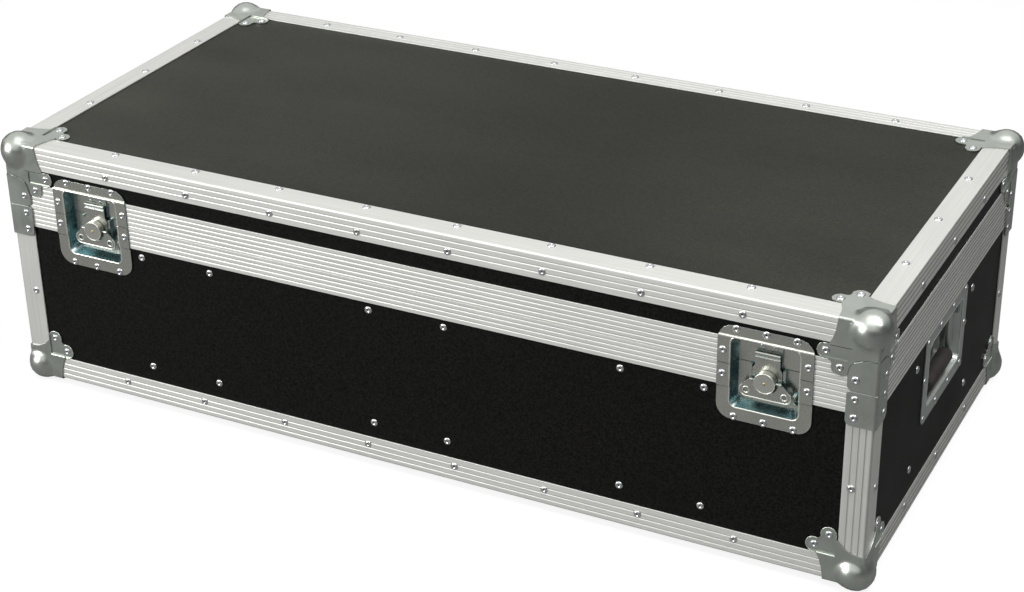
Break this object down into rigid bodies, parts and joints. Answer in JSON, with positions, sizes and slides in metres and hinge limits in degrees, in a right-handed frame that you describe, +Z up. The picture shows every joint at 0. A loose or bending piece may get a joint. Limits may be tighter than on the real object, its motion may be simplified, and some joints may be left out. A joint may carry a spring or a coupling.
{
  "type": "flight case with hinged lid",
  "caption": "Plywood transport case with aluminium edges, steel ball corners, recessed butterfly latches, recessed handles and a hinged lid over foam cradles.",
  "frame": {"origin": "middle of the underside, on the plane that the ball corners stand on", "axes": "+X along the case to its right end, +Y from the latches to the hinges, +Z up"},
  "size_m": [1.108, 0.54, 0.3336],
  "materials": {
    "extrusion": "satin mill finish with extruded ribs",
    "corner_steel": "zinc plated, satin",
    "latch_steel": "bright zinc plated",
    "handle_steel": "zinc plated, satin",
    "hinge_steel": "zinc plated, satin",
    "laminate": "black phenolic film over birch plywood",
    "grip_rubber": "moulded, matt",
    "foam": "closed-cell foam"
  },
  "bodies": {
    "base": {"base_edge_front": "extrusion", "base_edge_right": "extrusion", "base_edge_back": "extrusion", "base_edge_left": "extrusion", "corner_post_front_left": "extrusion", "corner_post_front_right": "extrusion", "corner_post_back_left": "extrusion", "corner_post_back_right": "extrusion", "base_ball_corner_front_left": "corner_steel", "base_ball_corner_front_right": "corner_steel", "base_ball_corner_back_left": "corner_steel", "base_ball_corner_back_right": "corner_steel", "corner_brace_front_left": "corner_steel", "corner_brace_front_right": "corner_steel", "corner_brace_back_left": "corner_steel", "corner_brace_back_right": "corner_steel", "bottom_panel": "laminate", "front_panel": "laminate", "back_panel": "laminate", "left_panel": "laminate", "right_panel": "laminate", "base_closure_rail": "extrusion", "base_front_rail": "extrusion", "latch_dish_left": "latch_steel", "latch_dish_right": "latch_steel", "handle_dish_left": "handle_steel", "handle_dish_right": "handle_steel", "hinge_lower_leaf_left": "hinge_steel", "hinge_lower_leaf_right": "hinge_steel", "foam_cradle_left": "foam", "foam_cradle_middle": "foam", "foam_cradle_right": "foam"},
    "lid": {"lid_edge_front": "extrusion", "lid_edge_right": "extrusion", "lid_edge_back": "extrusion", "lid_edge_left": "extrusion", "lid_ball_corner_front_left": "corner_steel", "lid_ball_corner_front_right": "corner_steel", "lid_ball_corner_back_left": "corner_steel", "lid_ball_corner_back_right": "corner_steel", "top_panel": "laminate", "lid_walls": "laminate", "lid_closure_rail": "extrusion", "lid_front_rail": "extrusion", "lid_foam_pad": "foam", "latch_keeper_left": "latch_steel", "latch_keeper_right": "latch_steel", "hinge_upper_leaf_left": "hinge_steel", "hinge_upper_leaf_right": "hinge_steel"},
    "latch_rotor_left": {"latch_rotor_left": "latch_steel"},
    "latch_hook_left": {"latch_hook_left": "latch_steel"},
    "latch_wing_left": {"latch_wing_left": "latch_steel"},
    "handle_bail_left": {"handle_bail_left": "handle_steel", "handle_grip_left": "grip_rubber"},
    "latch_rotor_right": {"latch_rotor_right": "latch_steel"},
    "latch_hook_right": {"latch_hook_right": "latch_steel"},
    "latch_wing_right": {"latch_wing_right": "latch_steel"},
    "handle_bail_right": {"handle_bail_right": "handle_steel", "handle_grip_right": "grip_rubber"}
  },
  "joints": [
    {"name": "lid_hinge", "type": "hinge", "parent": "base", "child": "lid", "pos_m": [0, 0.2654, 0.2443], "axis": [-1, 0, 0], "range_deg": [0, 100]},
    {"name": "latch_left_turn", "type": "hinge", "parent": "base", "child": "latch_rotor_left", "pos_m": [-0.425, -0.26, 0.2293], "axis": [0, 1, 0], "range_deg": [0, 180]},
    {"name": "latch_left_lift", "type": "slide", "parent": "base", "child": "latch_hook_left", "axis": [0, 0, 1], "range_m": [0, 0.007]},
    {"name": "latch_left_flip", "type": "hinge", "parent": "latch_rotor_left", "child": "latch_wing_left", "pos_m": [-0.425, -0.2565, 0.2293], "axis": [-1, 0, 0], "range_deg": [0, 90]},
    {"name": "handle_left_swing", "type": "hinge", "parent": "base", "child": "handle_bail_left", "pos_m": [-0.5343, 0, 0.1938], "axis": [0, 1, 0], "range_deg": [0, 90]},
    {"name": "latch_right_turn", "type": "hinge", "parent": "base", "child": "latch_rotor_right", "pos_m": [0.425, -0.26, 0.2293], "axis": [0, -1, 0], "range_deg": [0, 180]},
    {"name": "latch_right_lift", "type": "slide", "parent": "base", "child": "latch_hook_right", "axis": [0, 0, 1], "range_m": [0, 0.007]},
    {"name": "latch_right_flip", "type": "hinge", "parent": "latch_rotor_right", "child": "latch_wing_right", "pos_m": [0.425, -0.2565, 0.2293], "axis": [-1, 0, 0], "range_deg": [0, 90]},
    {"name": "handle_right_swing", "type": "hinge", "parent": "base", "child": "handle_bail_right", "pos_m": [0.5343, 0, 0.1938], "axis": [0, -1, 0], "range_deg": [0, 90]}
  ],
  "couplings": [
    {"joint": "latch_left_lift", "follows": "latch_left_turn", "m_per_rad": 0.0022282},
    {"joint": "latch_right_lift", "follows": "latch_right_turn", "m_per_rad": 0.0022282}
  ]
}
